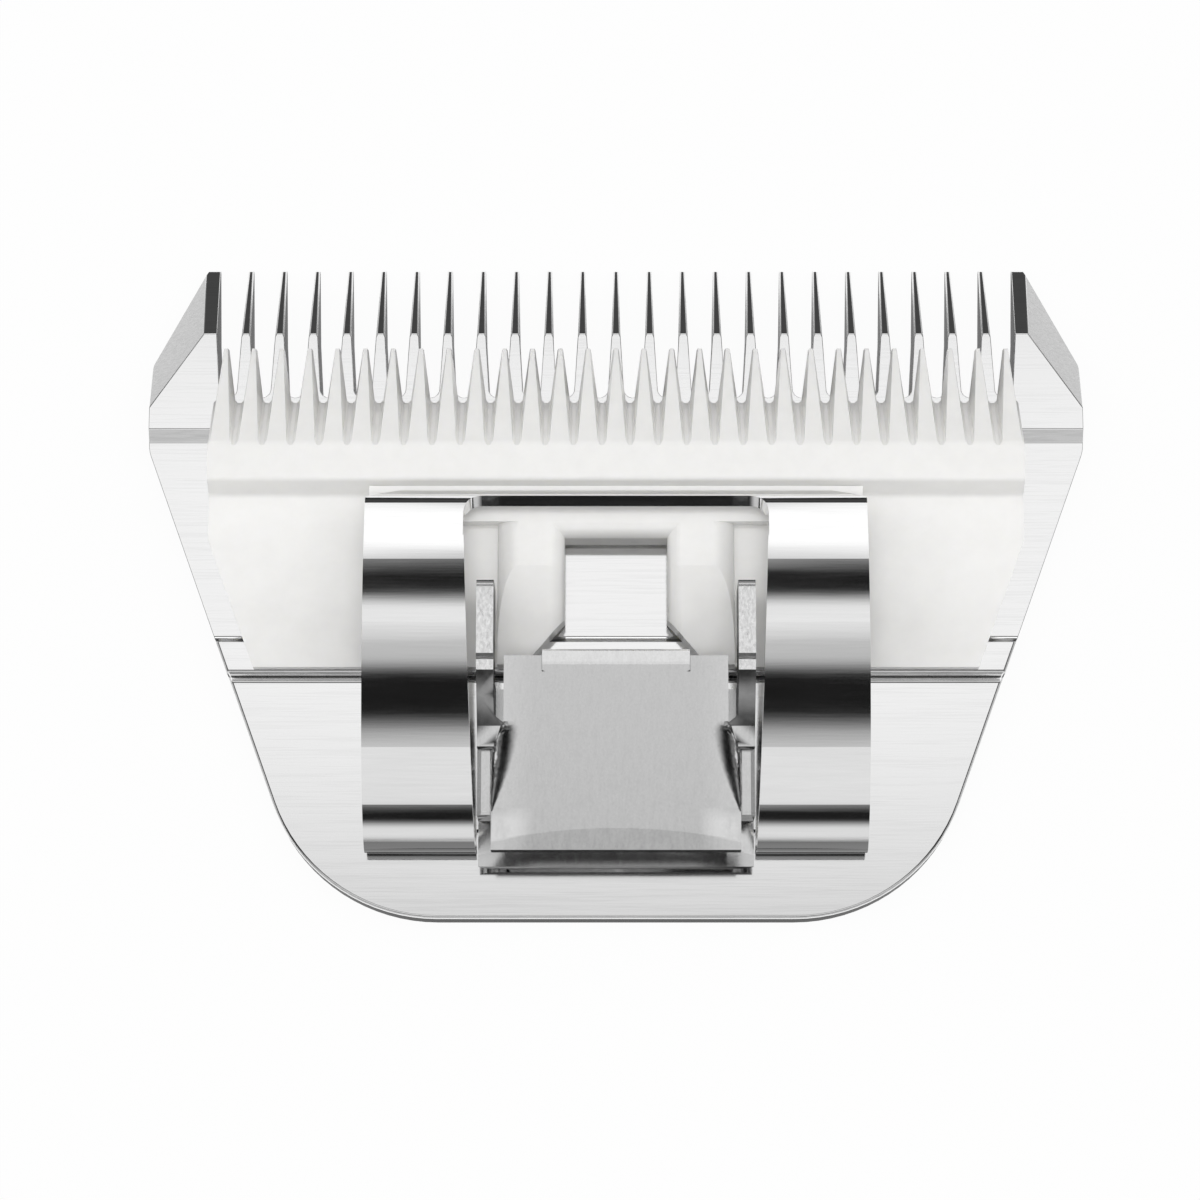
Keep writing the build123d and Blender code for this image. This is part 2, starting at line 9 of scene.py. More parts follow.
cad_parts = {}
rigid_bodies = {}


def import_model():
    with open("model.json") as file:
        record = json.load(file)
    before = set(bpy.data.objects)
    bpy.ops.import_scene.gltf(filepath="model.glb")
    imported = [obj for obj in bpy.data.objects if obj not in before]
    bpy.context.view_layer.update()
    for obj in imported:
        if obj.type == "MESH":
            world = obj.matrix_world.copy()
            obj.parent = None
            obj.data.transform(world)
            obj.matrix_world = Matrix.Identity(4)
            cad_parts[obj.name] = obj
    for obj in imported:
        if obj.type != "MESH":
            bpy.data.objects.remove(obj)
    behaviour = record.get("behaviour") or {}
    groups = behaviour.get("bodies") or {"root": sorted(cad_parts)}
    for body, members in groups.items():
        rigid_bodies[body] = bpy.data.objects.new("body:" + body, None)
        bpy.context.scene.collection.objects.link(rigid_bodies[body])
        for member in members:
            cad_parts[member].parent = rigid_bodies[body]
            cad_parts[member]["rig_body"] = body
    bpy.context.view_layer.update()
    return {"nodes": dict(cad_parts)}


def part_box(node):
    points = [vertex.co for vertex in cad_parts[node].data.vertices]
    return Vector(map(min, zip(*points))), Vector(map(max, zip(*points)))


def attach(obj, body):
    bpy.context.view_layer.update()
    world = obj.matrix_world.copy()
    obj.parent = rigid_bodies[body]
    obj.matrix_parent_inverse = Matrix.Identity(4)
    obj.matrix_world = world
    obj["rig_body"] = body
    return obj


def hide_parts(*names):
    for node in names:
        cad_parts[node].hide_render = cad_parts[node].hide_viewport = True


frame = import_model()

MM = 0.001
# How near a point of a solid lies to the place it is looked for
CLOSE = 0.01 * MM

# An edge that turns by more than CREASE degrees stays crisp, and one that turns by more than CORNER degrees
# is rounded off
CREASE = 9.0
CORNER = 24.0

# Stations on the socket, from the box of its node: the top of its roof, its front fold, the end of the
# roof's neck, and the rear end of the ears' tops
socket_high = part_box("blade_socket")[1]
ROOF_Z = socket_high[2] - 2.4 * MM
FOLD_Y = socket_high[1] - 4.3 * MM
NECK_END_Y = FOLD_Y - 5.0 * MM
EAR_REAR_Y = socket_high[1] - 5.1 * MM

# The socket's lip: the radius of the fold in the solid, the line where the lip bends down, its slope, the
# share of the fold's quarter turn that becomes the lip, its half width in the solid and as pressed, and how
# far down it reaches
FOLD_RADIUS = 1.5 * MM
BEND_LINE_Y = FOLD_Y - 1.1 * MM
LIP_SLOPE = math.tan(math.radians(13.0))
LIP_SHARE = 0.7
SOLID_LIP_HALF_WIDTH = 4.75 * MM
LIP_HALF_WIDTH = 4.98 * MM
LIP_DEPTH = 0.6 * MM

# The bent edges of the roof: where they start beside the centre line, where they give way to the ears, how
# far they reach down, and the length over which the neck runs into them
BENT_EDGE_START = 6.3 * MM
EAR_START = 7.3 * MM
EAR_FULL = 7.6 * MM
BENT_EDGE_DROP = 1.1 * MM
NECK_RUN_IN = 1.0 * MM

# The tops of the hooks, as heights over the roof at stations behind the ears' rear end, how far out they
# start, and the height over the roof past which only the ears reach
HOOK_START = 7.45 * MM
HOOK_STATIONS = np.array([0.35, 1.05, 2.5, 4.4, 5.8]) * MM
SOLID_HOOK_TOPS = np.array([2.0, 1.9, 0.96, -0.4, -0.75]) * MM
PRESSED_HOOK_TOPS = np.array([1.98, 2.0, 0.96, -0.62, -0.64]) * MM
EAR_CUT_HEIGHT = 1.5 * MM

# The dip across the rear of the roof: where it starts on the centre line, how fast that line bows back
# toward the sides (metres back per square metre aside), its slope, and how soft its edge is
DIP_START = -17.95 * MM
DIP_BOW = 13.0
DIP_SLOPE = 0.03
DIP_EDGE = 0.1 * MM

# The rear corners of the roof: where they start to rise, how far out, their slope, and how much brighter
# they are painted, as a painted highlight
CORNER_START = -16.6 * MM
CORNER_INNER = 5.5 * MM
CORNER_OUTER = 7.5 * MM
CORNER_SLOPE = 0.06
CORNER_PAINTED_HIGHLIGHT = 0.3

# The tight bend at the rear of the spring's arms: where its painted shade starts, how soft that edge is and
# how much of the strip's brightness is left under the painted shade
REAR_BEND_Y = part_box("tension_spring")[0][1] + 0.62 * MM
REAR_BEND_EDGE = 0.1 * MM
REAR_BEND_SHADE_LEVEL = 0.22

# Widths of the rounds on the sharp edges
COMB_ROUND = 0.066 * MM
CUTTER_ROUND = 0.09 * MM
SOCKET_ROUND = 0.12 * MM


# Node trees

def new_material(name):
    """An empty material with a Principled shader, and the tree that goes with it."""
    material = bpy.data.materials.new(name)
    material.use_nodes = True
    tree = material.node_tree
    tree.nodes.clear()
    output = tree.nodes.new("ShaderNodeOutputMaterial")
    shader = tree.nodes.new("ShaderNodeBsdfPrincipled")
    tree.links.new(shader.outputs["BSDF"], output.inputs["Surface"])
    return material, tree, shader


def new_metal(name):
    """A new material that is all metal."""
    material, tree, shader = new_material(name)
    shader.inputs["Metallic"].default_value = 1.0
    return material, tree, shader


def axes(tree, vector):
    """The X, Y and Z of a vector."""
    node = tree.nodes.new("ShaderNodeSeparateXYZ")
    tree.links.new(vector, node.inputs["Vector"])
    return node.outputs["X"], node.outputs["Y"], node.outputs["Z"]


def coordinates(tree, kind):
    """The texture coordinates of that kind."""
    return tree.nodes.new("ShaderNodeTexCoord").outputs[kind]


def stretched_noise(tree, scale, detail, roughness=0.6):
    """Noise on object coordinates, with its own scale in periods per metre along each axis."""
    mapping = tree.nodes.new("ShaderNodeMapping")
    mapping.inputs["Scale"].default_value = scale
    tree.links.new(coordinates(tree, "Object"), mapping.inputs["Vector"])
    noise = tree.nodes.new("ShaderNodeTexNoise")
    noise.inputs["Scale"].default_value = 1.0
    noise.inputs["Detail"].default_value = detail
    noise.inputs["Roughness"].default_value = roughness
    tree.links.new(mapping.outputs["Vector"], noise.inputs["Vector"])
    return noise.outputs["Fac"]


def spread(tree, factor, low, high, start=0.3, end=0.7):
    """The factor stretched from start..end to low..high, and held at either end."""
    node = tree.nodes.new("ShaderNodeMapRange")
    node.inputs["From Min"].default_value = start
    node.inputs["From Max"].default_value = end
    node.inputs["To Min"].default_value = low
    node.inputs["To Max"].default_value = high
    tree.links.new(factor, node.inputs["Value"])
    return node.outputs["Result"]


def calculate(tree, operation, first, second):
    """A math node on two sockets or numbers."""
    node = tree.nodes.new("ShaderNodeMath")
    node.operation = operation
    for index, value in enumerate((first, second)):
        if isinstance(value, (int, float)):
            node.inputs[index].default_value = value
        else:
            tree.links.new(value, node.inputs[index])
    return node.outputs["Value"]


def blend(tree, first, second, share):
    """The first factor by its share and the second by the rest."""
    return calculate(
        tree, "ADD",
        calculate(tree, "MULTIPLY", first, share),
        calculate(tree, "MULTIPLY", second, 1.0 - share),
    )


def colour_ramp(tree, factor, stops):
    """A colour ramp, as pairs of position and colour, where a plain number is a grey."""
    ramp = tree.nodes.new("ShaderNodeValToRGB")
    elements = ramp.color_ramp.elements
    while len(elements) < len(stops):
        elements.new(0.5)
    for element, (position, colour) in zip(elements, stops):
        element.position = position
        element.color = (*colour, 1.0) if isinstance(colour, tuple) else (colour, colour, colour, 1.0)
    tree.links.new(factor, ramp.inputs["Fac"])
    return ramp.outputs["Color"]


def grey_of(tree, value):
    """A value as a grey, cut off at white."""
    return colour_ramp(tree, value, [(0.0, 0.0), (1.0, 1.0)])


def raise_surface(tree, shader, height, distance):
    """A bump of that many metres at full height, on the shader's normal."""
    bump = tree.nodes.new("ShaderNodeBump")
    bump.inputs["Strength"].default_value = 1.0
    bump.inputs["Distance"].default_value = distance
    tree.links.new(height, bump.inputs["Height"])
    tree.links.new(bump.outputs["Normal"], shader.inputs["Normal"])


# Finishes

def ground_steel():
    """Steel ground along the tooth row: long fine lines along X, with faint broader streaks."""
    material, tree, shader = new_metal("ground_steel_lines")
    fine = stretched_noise(tree, (180.0, 9000.0, 9000.0), 3.0)
    broad = stretched_noise(tree, (60.0, 1400.0, 1400.0), 4.0)
    lines = blend(tree, fine, broad, 0.55)
    greys = colour_ramp(tree, lines, [(0.4, 0.93), (0.5, 0.98), (0.6, 1.0)])
    tree.links.new(greys, shader.inputs["Base Color"])
    tree.links.new(spread(tree, lines, 0.06, 0.12), shader.inputs["Roughness"])
    raise_surface(tree, shader, lines, 0.0000007)
    return material


def coarse_ground_steel():
    """The bevels at the comb's corners and the slope of its trough: ground on a coarser wheel, so duller."""
    material, tree, shader = new_metal("coarse_ground_bevel")
    lines = stretched_noise(tree, (400.0, 5200.0, 5200.0), 3.0)
    tree.links.new(colour_ramp(tree, lines, [(0.35, 0.58), (0.65, 0.73)]), shader.inputs["Base Color"])
    tree.links.new(spread(tree, lines, 0.16, 0.26), shader.inputs["Roughness"])
    raise_surface(tree, shader, lines, 0.000001)
    return material


def hardened_steel():
    """The sides of the comb and the flanks of its teeth, which keep the darker skin of the hardening."""
    material, tree, shader = new_metal("hardened_side")
    shader.inputs["Specular Tint"].default_value = (0.25, 0.25, 0.25, 1.0)
    cloud = stretched_noise(tree, (2200.0, 2200.0, 900.0), 3.0)
    tree.links.new(colour_ramp(tree, cloud, [(0.3, 0.25), (0.7, 0.3)]), shader.inputs["Base Color"])
    tree.links.new(spread(tree, cloud, 0.26, 0.3), shader.inputs["Roughness"])
    return material


def spring_steel():
    """Bright rolled strip: nearly a mirror, with faint lines across the arms. The outer face of the tight
    rear bend is coloured dark as painted shade, standing in for the dark it shows at the rear of the arms."""
    material, tree, shader = new_metal("bright_spring_strip")
    fine = stretched_noise(tree, (250.0, 7000.0, 7000.0), 3.0)
    broad = stretched_noise(tree, (90.0, 900.0, 900.0), 3.0)
    lines = blend(tree, fine, broad, 0.5)
    _, y, _ = axes(tree, coordinates(tree, "Object"))
    rolled = spread(tree, lines, 0.84, 0.92)
    bend_end = REAR_BEND_Y - REAR_BEND_EDGE
    bend_start = REAR_BEND_Y + REAR_BEND_EDGE
    # Painted shade: the colour is darkened over the outer face of the rear bend
    bend_painted_shade = spread(tree, y, REAR_BEND_SHADE_LEVEL, 1.0, bend_end, bend_start)
    grey = calculate(tree, "MULTIPLY", rolled, bend_painted_shade)
    tree.links.new(grey_of(tree, grey), shader.inputs["Base Color"])
    tree.links.new(spread(tree, lines, 0.06, 0.11), shader.inputs["Roughness"])
    raise_surface(tree, shader, lines, 0.0000008)
    return material


def socket_steel():
    """Satin plated sheet: soft grey with a fine grain drawn out along Y, the way the strip was rolled. The
    rear of the roof dips behind a bowed line, and its two corners rise and carry a painted highlight."""
    material, tree, shader = new_metal("satin_plated_sheet")
    grain = stretched_noise(tree, (6000.0, 4200.0, 5000.0), 3.0, 0.7)
    streak = stretched_noise(tree, (2600.0, 900.0, 1500.0), 3.0)
    drawn = blend(tree, grain, streak, 0.45)

    x, y, _ = axes(tree, coordinates(tree, "Object"))
    aside = calculate(tree, "ABSOLUTE", x, 0.0)
    bow = calculate(tree, "MULTIPLY", calculate(tree, "POWER", aside, 2.0), DIP_BOW)
    into_dip = calculate(tree, "SUBTRACT", calculate(tree, "SUBTRACT", DIP_START, y), bow)
    dip = calculate(tree, "MULTIPLY", calculate(tree, "MAXIMUM", into_dip, 0.0), -DIP_SLOPE)
    into_corner = calculate(tree, "MAXIMUM", calculate(tree, "SUBTRACT", CORNER_START, y), 0.0)
    outward = spread(tree, aside, 0.0, 1.0, CORNER_INNER, CORNER_OUTER)
    corner = calculate(tree, "MULTIPLY", into_corner, calculate(tree, "MULTIPLY", outward, CORNER_SLOPE))

    # Painted highlight: the colour of the rear corners is lifted, except inside the dip
    corner_highlight_paint = calculate(tree, "MULTIPLY", outward, spread(tree, into_corner, 0.0, 1.0, -0.3 * MM, 0.9 * MM))
    corner_highlight_paint = calculate(tree, "MULTIPLY", corner_highlight_paint, spread(tree, into_dip, 1.0, 0.0, -DIP_EDGE, DIP_EDGE))
    plated = spread(tree, drawn, 0.69, 0.84, 0.38, 0.62)
    grey = calculate(tree, "ADD", plated, calculate(tree, "MULTIPLY", corner_highlight_paint, CORNER_PAINTED_HIGHLIGHT))
    tree.links.new(grey_of(tree, grey), shader.inputs["Base Color"])
    tree.links.new(spread(tree, drawn, 0.17, 0.26), shader.inputs["Roughness"])

    fine = calculate(tree, "MULTIPLY", drawn, 0.0000015)
    raise_surface(tree, shader, calculate(tree, "ADD", calculate(tree, "ADD", dip, corner), fine), 1.0)
    return material


def painted_shade_plating():
    """The walls of the socket and the slanted tops of its hooks, coloured dark as painted shade, standing in
    for the dark they mirror, and a little rougher.
    """
    material, tree, shader = new_metal("painted_shade_plating")
    shader.inputs["Specular Tint"].default_value = (0.4, 0.4, 0.4, 1.0)
    cloud = stretched_noise(tree, (1500.0, 1500.0, 1500.0), 3.0)
    tree.links.new(colour_ramp(tree, cloud, [(0.3, 0.28), (0.7, 0.36)]), shader.inputs["Base Color"])
    tree.links.new(spread(tree, cloud, 0.2, 0.26), shader.inputs["Roughness"])
    return material


def sheared_steel():
    """The cut edges of the socket's sheet: bright bare steel, torn into small dark pits in places."""
    material, tree, shader = new_metal("sheared_edge")
    pits = stretched_noise(tree, (5200.0, 2600.0, 5200.0), 4.0, 0.75)
    greys = colour_ramp(tree, pits, [(0.22, 0.6), (0.31, 0.96), (0.7, 1.0)])
    tree.links.new(greys, shader.inputs["Base Color"])
    tree.links.new(spread(tree, pits, 0.3, 0.14), shader.inputs["Roughness"])
    raise_surface(tree, shader, pits, 0.0000015)
    return material


def screw_steel():
    """Turned steel: rings would be too fine to see, so a plain mottled grey."""
    material, tree, shader = new_metal("turned_screw_steel")
    cloud = stretched_noise(tree, (2500.0, 2500.0, 2500.0), 3.0)
    tree.links.new(colour_ramp(tree, cloud, [(0.3, 0.5), (0.7, 0.66)]), shader.inputs["Base Color"])
    tree.links.new(spread(tree, cloud, 0.28, 0.4), shader.inputs["Roughness"])
    return material


def white_ceramic():
    """Dense white zirconia: milky, a little light goes in, with a smooth soft gloss."""
    material, tree, shader = new_material("milky_zirconia")
    cloud = stretched_noise(tree, (700.0, 700.0, 700.0), 3.0)
    milk = colour_ramp(tree, cloud, [(0.3, (0.87, 0.865, 0.85)), (0.7, (0.9, 0.895, 0.88))])
    tree.links.new(milk, shader.inputs["Base Color"])
    tree.links.new(spread(tree, cloud, 0.2, 0.26), shader.inputs["Roughness"])
    shader.inputs["IOR"].default_value = 1.9
    shader.inputs["Subsurface Weight"].default_value = 0.35
    shader.inputs["Subsurface Radius"].default_value = (1.0, 1.0, 0.9)
    shader.inputs["Subsurface Scale"].default_value = 0.0006
    return material


# Forms that the press leaves on the socket

def smooth_step(value, start, end):
    """Rises from 0 at the start to 1 at the end, level at both: 3t squared less 2t cubed."""
    share = np.clip((value - start) / (end - start), 0.0, 1.0)
    return share * share * (3.0 - 2.0 * share)


def press_lip(points, aside, side, y, z):
    """The fold at the front becomes a lip and a drop. The angle around the fold, from the roof down, is laid
    out anew: its first share runs forward from the roof and falls by the lip's slope past the bend line, and
    the rest drops straight down. The walls beside the lip move out to its half width."""
    fold_y = FOLD_Y - FOLD_RADIUS
    fold_z = ROOF_Z - FOLD_RADIUS
    on_fold = np.abs(np.hypot(y - fold_y, z - fold_z) - FOLD_RADIUS) < 2 * CLOSE
    on_fold &= (y > fold_y) & (z > fold_z - CLOSE) & (aside < SOLID_LIP_HALF_WIDTH + 5 * CLOSE)
    turn = np.arctan2(y - fold_y, z - fold_z) / (math.pi / 2.0)
    lip_y = FOLD_Y - FOLD_RADIUS * (1.0 - np.minimum(turn / LIP_SHARE, 1.0))
    lip_z = ROOF_Z - np.maximum(lip_y - BEND_LINE_Y, 0.0) * LIP_SLOPE
    drop = np.clip((turn - LIP_SHARE) / (1.0 - LIP_SHARE), 0.0, 1.0)
    points[on_fold, 1] = lip_y[on_fold]
    points[on_fold, 2] = (lip_z + (fold_z - lip_z) * drop)[on_fold]
    on_wall = (np.abs(aside - SOLID_LIP_HALF_WIDTH) < CLOSE) & (y > fold_y - 5 * CLOSE) & (z > fold_z)
    points[on_wall, 0] = (side * LIP_HALF_WIDTH)[on_wall]


def press_bent_edges(points, aside, y, z):
    """The neck runs into the bent edges of the roof: their depth is multiplied by a smooth step of the
    distance behind the neck, and the ears beyond them stay as they are."""
    behind_neck = NECK_END_Y - y
    on_edge = (aside > BENT_EDGE_START) & (z > ROOF_Z - BENT_EDGE_DROP) & (z < ROOF_Z)
    on_edge &= (behind_neck > -CLOSE) & (behind_neck < NECK_RUN_IN + 20 * CLOSE)
    inner = 1.0 - smooth_step(aside, EAR_START, EAR_FULL)
    kept = 1.0 - inner * (1.0 - smooth_step(behind_neck, 0.0, NECK_RUN_IN))
    points[on_edge, 2] = (ROOF_Z - (ROOF_Z - z) * kept)[on_edge]


def press_hooks(points, aside, y, z):
    """The tops of the hooks move from the solid's heights to the pressed ones, both straight between the
    same stations."""
    back = EAR_REAR_Y - y
    solid_top = ROOF_Z + np.interp(back, HOOK_STATIONS, SOLID_HOOK_TOPS)
    pressed_top = ROOF_Z + np.interp(back, HOOK_STATIONS, PRESSED_HOOK_TOPS)
    on_top = (aside > HOOK_START) & (np.abs(z - solid_top) < 2 * CLOSE)
    on_top &= (back > HOOK_STATIONS[0] - 5 * CLOSE) & (back < HOOK_STATIONS[-1] + 5 * CLOSE)
    points[on_top, 2] = pressed_top[on_top]


def press_socket(mesh):
    """The crisper forms of the lip, the bent edges and the hooks, as moves of the solid's own points."""
    points = np.empty(len(mesh.vertices) * 3)
    mesh.vertices.foreach_get("co", points)
    points = points.reshape(-1, 3)
    x, y, z = points.T.copy()
    press_lip(points, np.abs(x), np.sign(x), y, z)
    press_bent_edges(points, np.abs(x), y, z)
    press_hooks(points, np.abs(x), y, z)
    mesh.vertices.foreach_set("co", points.ravel())
    mesh.update()


def on_lip(place):
    """Whether a point lies on the lip."""
    along = BEND_LINE_Y - 3 * CLOSE < place.y < FOLD_Y + CLOSE
    return along and abs(place.x) < LIP_HALF_WIDTH + 2 * CLOSE and place.z > ROOF_Z - LIP_DEPTH


# Which faces take another finish than their piece, from their normals and centres

def raised_cuts(normals, centres):
    """The level cut edges on top of the ears."""
    return (normals[:, 2] > 0.99) & (centres[:, 2] > ROOF_Z + EAR_CUT_HEIGHT)


def socket_walls(normals, centres):
    """The socket's upright faces, and the slanted tops of its hooks, which take a painted shade."""
    upright = np.abs(normals[:, 2]) < 0.3
    slanted = (normals[:, 2] > 0.0) & (normals[:, 2] < 0.9) & (np.abs(normals[:, 1]) > 0.4)
    return upright | (slanted & (np.abs(centres[:, 0]) > HOOK_START))


def comb_bevels(normals, centres):
    """The bevels at the comb's corners and the slope of its trough that faces the rear."""
    slanted = (normals[:, 2] > 0.3) & (normals[:, 2] < 0.97)
    return slanted & ((np.abs(normals[:, 0]) > 0.2) | (normals[:, 1] < -0.3))


def comb_sides(normals, centres):
    """The steep faces of the comb: its outline and the flanks of its teeth."""
    return np.abs(normals[:, 2]) < 0.3


# Pieces

def cleaned_mesh(node, name, reshape, crisp):
    """A copy of a solid's mesh, merged and with its flat faces whole. The reshape function moves its points.
    An edge is marked sharp where the crisp test holds at both its ends or where it turns by more than CREASE,
    and past CORNER it is weighted for a round instead."""
    mesh = bpy.data.meshes.new(name)
    work = bmesh.new()
    work.from_mesh(frame["nodes"][node].data)
    bmesh.ops.remove_doubles(work, verts=work.verts, dist=0.001 * MM)
    if reshape is not None:
        work.to_mesh(mesh)
        reshape(mesh)
        work.clear()
        work.from_mesh(mesh)
        bmesh.ops.dissolve_degenerate(work, dist=0.005 * MM, edges=work.edges)
    bmesh.ops.dissolve_limit(
        work, angle_limit=math.radians(0.6), verts=work.verts, edges=work.edges,
        use_dissolve_boundaries=False,
    )
    weight = work.edges.layers.float.new("bevel_weight_edge")
    for edge in work.edges:
        turn = math.degrees(edge.calc_face_angle(0.0))
        bare = crisp is not None and all(crisp(vert.co) for vert in edge.verts)
        edge.smooth = not (bare or CREASE < turn <= CORNER)
        edge[weight] = 0.0 if bare or turn <= CORNER else 1.0
    work.to_mesh(mesh)
    work.free()
    mesh.polygons.foreach_set("use_smooth", np.ones(len(mesh.polygons), dtype=bool))
    return mesh


def paint(mesh, finish, others):
    """The finish on the whole mesh, and each of the others on the faces that pass its test."""
    mesh.materials.clear()
    mesh.materials.append(finish)
    centres = np.empty(len(mesh.polygons) * 3)
    normals = np.empty(len(mesh.polygons) * 3)
    mesh.polygons.foreach_get("center", centres)
    mesh.polygons.foreach_get("normal", normals)
    chosen = np.zeros(len(mesh.polygons), dtype=np.int32)
    for index, (other, test) in enumerate(others, 1):
        mesh.materials.append(other)
        chosen[test(normals.reshape(-1, 3), centres.reshape(-1, 3))] = index
    mesh.polygons.foreach_set("material_index", chosen)


def eased_copy(node, name, width, finish, reshape=None, crisp=None, others=()):
    """A solid with its sharp edges rounded off to that width, whose faces keep their own flat or curved
    shading."""
    mesh = cleaned_mesh(node, name, reshape, crisp)
    paint(mesh, finish, others)
    piece = bpy.data.objects.new(name, mesh)
    bpy.context.scene.collection.objects.link(piece)
    rounding = piece.modifiers.new("eased edges", "BEVEL")
    rounding.width = width
    rounding.segments = 2
    rounding.limit_method = "WEIGHT"
    rounding.use_clamp_overlap = True
    rounding.material = 0
    shading = piece.modifiers.new("flat faces stay flat", "WEIGHTED_NORMAL")
    shading.weight = 100
    shading.keep_sharp = True
    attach(piece, frame["nodes"][node]["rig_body"])
    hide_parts(node)


def finish_node(node, finish):
    """A CAD node that stays as it is takes its finish."""
    mesh = frame["nodes"][node].data
    mesh.materials.clear()
    mesh.materials.append(finish)


eased_copy(
    "comb", "comb_ground", COMB_ROUND, ground_steel(),
    others=[(coarse_ground_steel(), comb_bevels), (hardened_steel(), comb_sides)],
)
eased_copy("cutter", "cutter_fired", CUTTER_ROUND, white_ceramic())
# The socket's walls and the tops of its hooks take a painted shade
eased_copy(
    "blade_socket", "socket_sheet", SOCKET_ROUND, socket_steel(),
    reshape=press_socket, crisp=on_lip,
    others=[(sheared_steel(), raised_cuts), (painted_shade_plating(), socket_walls)],
)
finish_node("tension_spring", spring_steel())
turned_steel = screw_steel()
for screw in ("screw_left", "screw_right"):
    finish_node(screw, turned_steel)


# Studio

# Centre, half width and soft edge of each overhead panel in degrees, and its level
OVERHEAD_PANELS = [
    (9.0, 9.4, 2.8, 0.55),
    (13.2, 5.2, 2.8, 0.34),
    (43.0, 11.5, 6.0, 1.15),
    (71.0, 9.0, 3.0, 0.045),
    (-37.3, 19.1, 6.0, 0.81),
    (-81.8, 8.3, 5.0, 0.78),
]
# Levels of the room itself, of the panels at its front and rear corners, and of its low side walls
ROOM_LEVEL = 0.01
FRONT_CORNER_LEVEL = 0.2
REAR_CORNER_LEVEL = 0.6
WALL_LEVEL = 0.5

# Place in metres and power in watts of each fill lamp, and the side of its square
FILL_LAMPS = {
    "fill_left": ((-0.5, 0.05, 0.45), 1.3),
    "fill_right": ((0.5, 0.05, 0.45), 1.3),
    "fill_top": ((0.0, -0.05, 0.7), 2.05),
}
LAMP_SIDE = 0.5

# The floor: its half width in metres, how far it lies under the blade, its colour, and the share of it that
# the camera and the metal see as plain white
FLOOR_HALF = 1.5
FLOOR_DROP = 0.02 * MM
FLOOR_GREY = 0.8
FLOOR_GLOW = 0.95

# The camera, as found from the photo: tilt behind the vertical, distance to its target, lens in millimetres,
# and how many pixels of the photo the view is shifted by
CAMERA_TILT = math.radians(12.0)
CAMERA_DISTANCE = 268.0 * MM
CAMERA_TARGET = Vector((0.0, -1.16 * MM, 4.0 * MM))
CAMERA_LENS = 117.0
PHOTO_SIDE_PX = 1200.0
SHIFT_RIGHT_PX = -16.0
SHIFT_UP_PX = -4.0


def soft_panel(tree, angle, centre, half, edge, level):
    """One panel of light: its level within half a width of its centre, fading to nothing over a soft edge.
    All angles are in degrees about X, from straight overhead and positive to the front."""
    off_centre = calculate(tree, "ABSOLUTE", calculate(tree, "SUBTRACT", angle, centre), 0.0)
    fade = tree.nodes.new("ShaderNodeMapRange")
    fade.interpolation_type = "SMOOTHSTEP"
    fade.inputs["From Min"].default_value = half - edge
    fade.inputs["From Max"].default_value = half + edge
    fade.inputs["To Min"].default_value = level
    fade.inputs["To Max"].default_value = 0.0
    tree.links.new(off_centre, fade.inputs["Value"])
    return fade.outputs["Result"]


def studio_world():
    """The light of the studio: long panels along X overhead, in front and behind with dark gaps between
    them, a pale panel at each corner of the room, and a low pale wall on either side, with dark between it
    and the overhead panels."""
    world = bpy.data.worlds.new("studio")
    bpy.context.scene.world = world
    world.use_nodes = True
    tree = world.node_tree
    tree.nodes.clear()
    x, y, z = axes(tree, coordinates(tree, "Generated"))
    angle = calculate(tree, "MULTIPLY", calculate(tree, "ARCTAN2", y, z), 180.0 / math.pi)
    light = ROOM_LEVEL
    for panel in OVERHEAD_PANELS:
        light = calculate(tree, "ADD", soft_panel(tree, angle, *panel), light)
    sideways = calculate(tree, "ABSOLUTE", x, 0.0)
    side = spread(tree, sideways, 0.0, 1.0, 0.15, 0.6)
    front = spread(tree, y, 0.0, FRONT_CORNER_LEVEL, 0.4, 0.6)
    rear = spread(tree, y, REAR_CORNER_LEVEL, 0.0, -0.6, -0.4)
    middle = calculate(tree, "MULTIPLY", light, calculate(tree, "SUBTRACT", 1.0, side))
    corners = calculate(tree, "MULTIPLY", side, calculate(tree, "ADD", front, rear))
    wall = spread(tree, sideways, 0.0, WALL_LEVEL, 0.87, 0.97)
    total = calculate(tree, "MAXIMUM", calculate(tree, "ADD", middle, corners), wall)
    room = tree.nodes.new("ShaderNodeBackground")
    tree.links.new(total, room.inputs["Color"])
    white = tree.nodes.new("ShaderNodeBackground")
    white.inputs["Color"].default_value = (1.0, 1.0, 1.0, 1.0)
    path = tree.nodes.new("ShaderNodeLightPath")
    mix = tree.nodes.new("ShaderNodeMixShader")
    output = tree.nodes.new("ShaderNodeOutputWorld")
    tree.links.new(path.outputs["Is Camera Ray"], mix.inputs["Fac"])
    tree.links.new(room.outputs["Background"], mix.inputs[1])
    tree.links.new(white.outputs["Background"], mix.inputs[2])
    tree.links.new(mix.outputs["Shader"], output.inputs["Surface"])


def fill_lamp(name, place, power):
    """A soft lamp aimed at the blade that only lifts the matt surfaces: metal doesn't mirror it."""
    data = bpy.data.lights.new(name, "AREA")
    data.shape = "SQUARE"
    data.size = LAMP_SIDE
    data.energy = power
    lamp = bpy.data.objects.new(name, data)
    place = Vector(place)
    lamp.matrix_world = Matrix.Translation(place) @ place.to_track_quat("Z", "Y").to_matrix().to_4x4()
    lamp.visible_glossy = False
    bpy.context.scene.collection.objects.link(lamp)


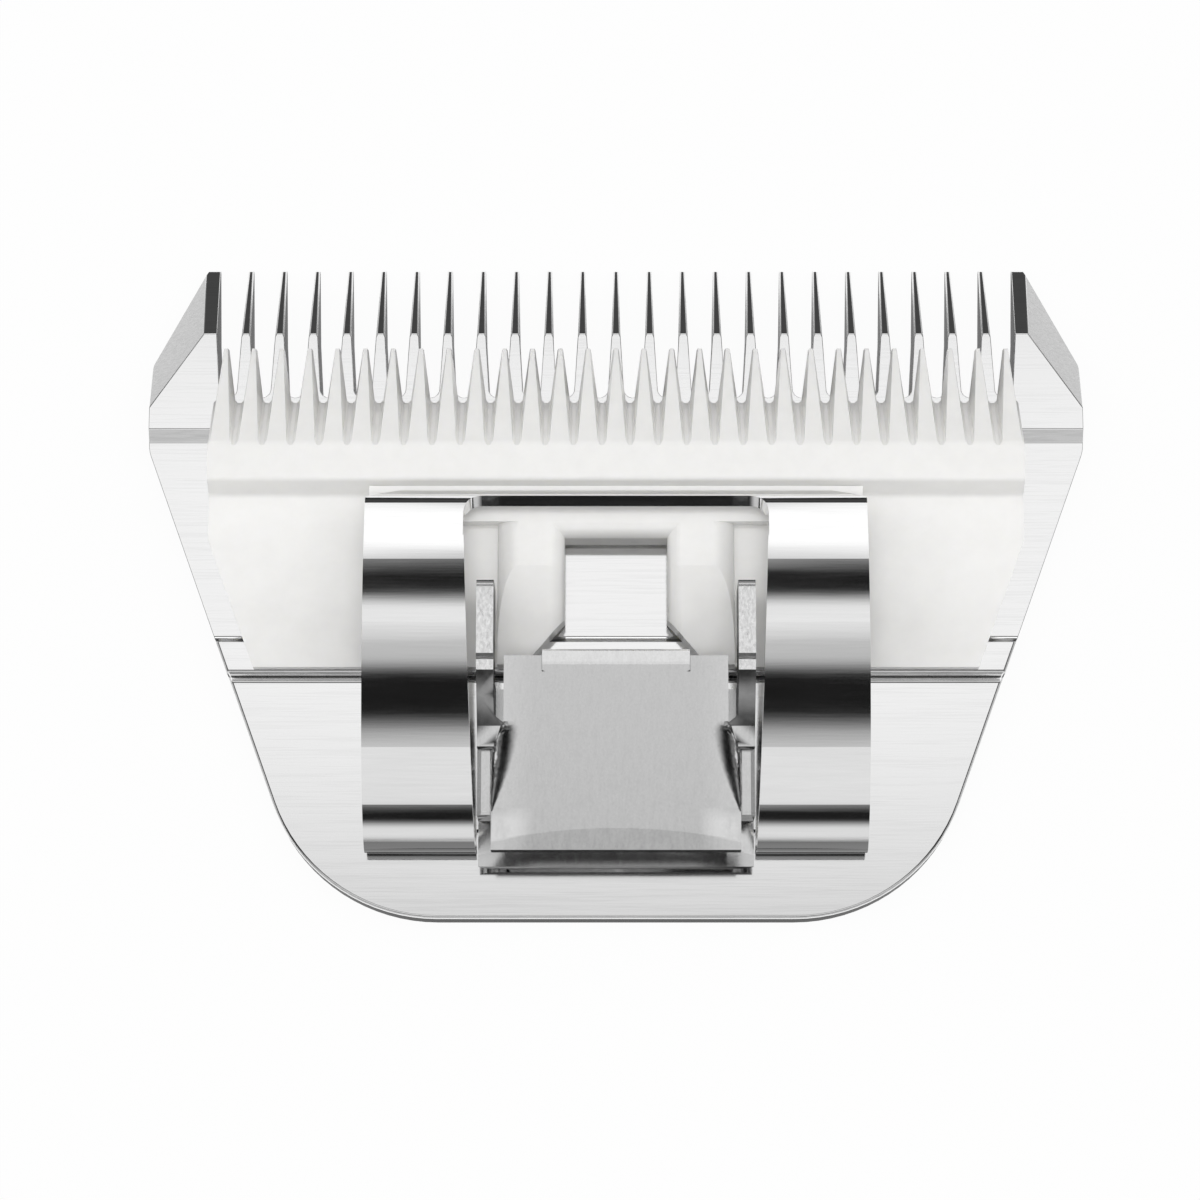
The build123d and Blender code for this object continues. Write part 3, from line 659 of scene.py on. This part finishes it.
def studio_floor():
    """A wide pale sheet under the blade, which keeps a faint shadow of it."""
    corners = [(x * FLOOR_HALF, y * FLOOR_HALF, 0.0) for x, y in ((-1, -1), (1, -1), (1, 1), (-1, 1))]
    mesh = bpy.data.meshes.new("floor")
    mesh.from_pydata(corners, [], [(0, 1, 2, 3)])
    floor = bpy.data.objects.new("floor", mesh)
    floor.location = (0.0, 0.0, -FLOOR_DROP)
    bpy.context.scene.collection.objects.link(floor)
    material = bpy.data.materials.new("floor_white")
    material.use_nodes = True
    tree = material.node_tree
    tree.nodes.clear()
    output = tree.nodes.new("ShaderNodeOutputMaterial")
    paper = tree.nodes.new("ShaderNodeBsdfDiffuse")
    paper.inputs["Color"].default_value = (FLOOR_GREY, FLOOR_GREY, FLOOR_GREY, 1.0)
    glow = tree.nodes.new("ShaderNodeEmission")
    glow.inputs["Color"].default_value = (1.0, 1.0, 1.0, 1.0)
    glow.inputs["Strength"].default_value = 1.0
    path = tree.nodes.new("ShaderNodeLightPath")
    seen = calculate(tree, "MAXIMUM", path.outputs["Is Camera Ray"], path.outputs["Is Glossy Ray"])
    mix = tree.nodes.new("ShaderNodeMixShader")
    tree.links.new(calculate(tree, "MULTIPLY", seen, FLOOR_GLOW), mix.inputs["Fac"])
    tree.links.new(paper.outputs["BSDF"], mix.inputs[1])
    tree.links.new(glow.outputs["Emission"], mix.inputs[2])
    tree.links.new(mix.outputs["Shader"], output.inputs["Surface"])
    mesh.materials.append(material)


def photo_camera():
    """The camera stands a little behind the vertical and looks down at the blade, teeth away from it."""
    data = bpy.data.cameras.new("camera")
    data.sensor_width = 36.0
    data.lens = CAMERA_LENS
    data.shift_x = SHIFT_RIGHT_PX / PHOTO_SIDE_PX
    data.shift_y = SHIFT_UP_PX / PHOTO_SIDE_PX
    data.clip_start = 0.01
    data.clip_end = 10.0
    data.dof.use_dof = False
    camera = bpy.data.objects.new("camera", data)
    forward = Vector((0.0, math.sin(CAMERA_TILT), -math.cos(CAMERA_TILT)))
    up = Vector((0.0, math.cos(CAMERA_TILT), math.sin(CAMERA_TILT)))
    right = forward.cross(up)
    turn = Matrix((right, up, -forward)).transposed().to_4x4()
    camera.matrix_world = Matrix.Translation(CAMERA_TARGET - forward * CAMERA_DISTANCE) @ turn
    bpy.context.scene.collection.objects.link(camera)
    bpy.context.scene.camera = camera


studio_world()
for lamp_name, (lamp_place, lamp_power) in FILL_LAMPS.items():
    fill_lamp(lamp_name, lamp_place, lamp_power)
studio_floor()
photo_camera()
bpy.context.scene.view_settings.view_transform = "Standard"
